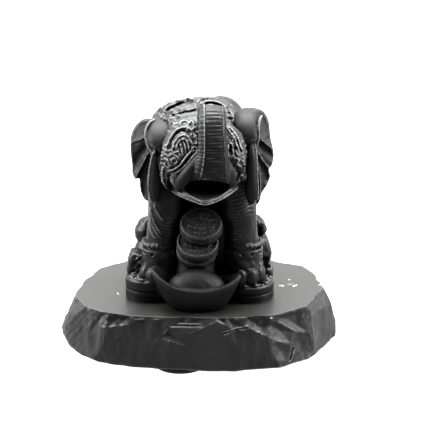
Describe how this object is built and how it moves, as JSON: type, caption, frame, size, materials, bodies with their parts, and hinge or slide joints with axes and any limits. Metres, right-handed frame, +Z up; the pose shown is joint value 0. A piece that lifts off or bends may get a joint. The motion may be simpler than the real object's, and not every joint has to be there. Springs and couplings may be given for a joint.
{
  "type": "elephant figurine",
  "caption": "Black shungite elephant with raised trunk, ringed by coins and treasure behind a boat-shaped ingot, on a knapped slab of raw stone with round pads under it.",
  "frame": {"origin": "on the table, under the middle of the slab's length and depth", "axes": "+X to the viewer's right along the slab's length, -Y the way the elephant looks, +Z up"},
  "size_m": [0.1, 0.067, 0.0963],
  "materials": {
    "figurine_shungite": "satin",
    "slab_shungite": "matte",
    "pad_rubber": "matte"
  },
  "bodies": {
    "root": {"elephant_figurine": "figurine_shungite", "shungite_slab": "slab_shungite", "pad_front": "pad_rubber", "pad_back_left": "pad_rubber", "pad_back_right": "pad_rubber"}
  },
  "joints": []
}
